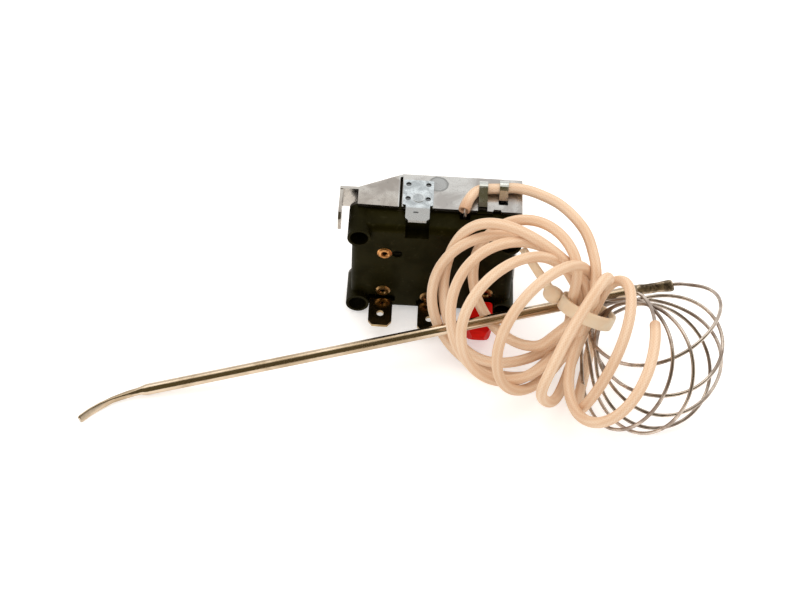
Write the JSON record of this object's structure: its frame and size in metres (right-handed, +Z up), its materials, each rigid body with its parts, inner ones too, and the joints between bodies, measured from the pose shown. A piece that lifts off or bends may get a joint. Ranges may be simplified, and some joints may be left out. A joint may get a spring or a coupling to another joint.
{
  "type": "flue gas thermostat",
  "caption": "Capillary thermostat: moulded snap switch in a zinc plated frame with push-on tabs, threaded bush, braided sleeve, tied coil and slim rod sensor bulb.",
  "frame": {"origin": "middle of the housing's footprint on the surface it stands on, cord pieces left out", "axes": "+X right and -Y towards the terminals' side as pictured, +Y along the mounting bush, +Z up"},
  "size_m": [0.1645, 0.0815, 0.0476],
  "materials": {
    "moulding": "moulded thermoset, satin",
    "cover_board": "moulded thermoset, satin",
    "zinc_sheet": "zinc plated, blotchy bright",
    "earth_sheet": "zinc plated, bright",
    "bush_brass": "turned, nickel tint",
    "spindle_steel": "turned",
    "clip_steel": "phosphated spring steel",
    "capsule_steel": "pressed stainless, satin",
    "pin_ceramic": "white ceramic, smooth",
    "spring_copper": "rolled spring copper alloy",
    "contact_silver": "silver, bright",
    "terminal_metal": "tinned, dark bright",
    "eyelet_copper": "copper plated, warm",
    "cap_red": "soft vinyl, saturated",
    "braid": "braided sleeve, cream, soft sheen",
    "capillary_metal": "drawn tube, grey brown",
    "bulb_steel": "drawn tube, bright",
    "tie_nylon": "natural nylon, translucent"
  },
  "bodies": {
    "housing": {"switch_base": "moulding", "base_cover": "cover_board", "frame_bracket": "zinc_sheet", "earth_tab_plate": "earth_sheet", "mounting_bush": "bush_brass", "blade_carrier": "terminal_metal", "make_contact": "contact_silver", "break_contact": "contact_silver", "terminal_common": "terminal_metal", "terminal_break": "terminal_metal", "terminal_make": "terminal_metal", "eyelet_rivets": "eyelet_copper", "calibration_screw": "clip_steel", "tab_cap": "cap_red", "inner_capillary": "capillary_metal", "sleeve_exit": "braid", "sleeve_coil": "braid", "capillary_coil": "capillary_metal", "sensor_bulb": "bulb_steel", "cable_tie": "tie_nylon"},
    "spindle": {"adjuster_spindle": "spindle_steel", "spindle_clip": "clip_steel"},
    "capsule": {"carrier_nut": "bush_brass", "diaphragm_front": "capsule_steel", "diaphragm_rear": "capsule_steel"},
    "pin": {"push_pin": "pin_ceramic"},
    "blade": {"snap_blade": "spring_copper", "moving_contact": "contact_silver"}
  },
  "joints": [
    {"name": "spindle_turn", "type": "hinge", "parent": "housing", "child": "spindle", "pos_m": [0.00137, 0.0106, 0.01685], "axis": [0, 1, 0], "range_deg": [0, 270]},
    {"name": "capsule_shift", "type": "slide", "parent": "housing", "child": "capsule", "axis": [0, 1, 0], "range_m": [0, 0.0005625]},
    {"name": "blade_snap", "type": "hinge", "parent": "housing", "child": "blade", "pos_m": [-0.00622, -0.00345, 0.01685], "axis": [0, 0, -1], "range_deg": [0, 2.78]},
    {"name": "pin_travel", "type": "slide", "parent": "housing", "child": "pin", "axis": [0, -1, 0], "range_m": [0, 0.00037]}
  ],
  "couplings": [
    {"joint": "spindle_turn", "follows": "capsule_shift", "rad_per_m": 8377.5},
    {"joint": "pin_travel", "follows": "blade_snap", "m_per_rad": 0.0076}
  ]
}
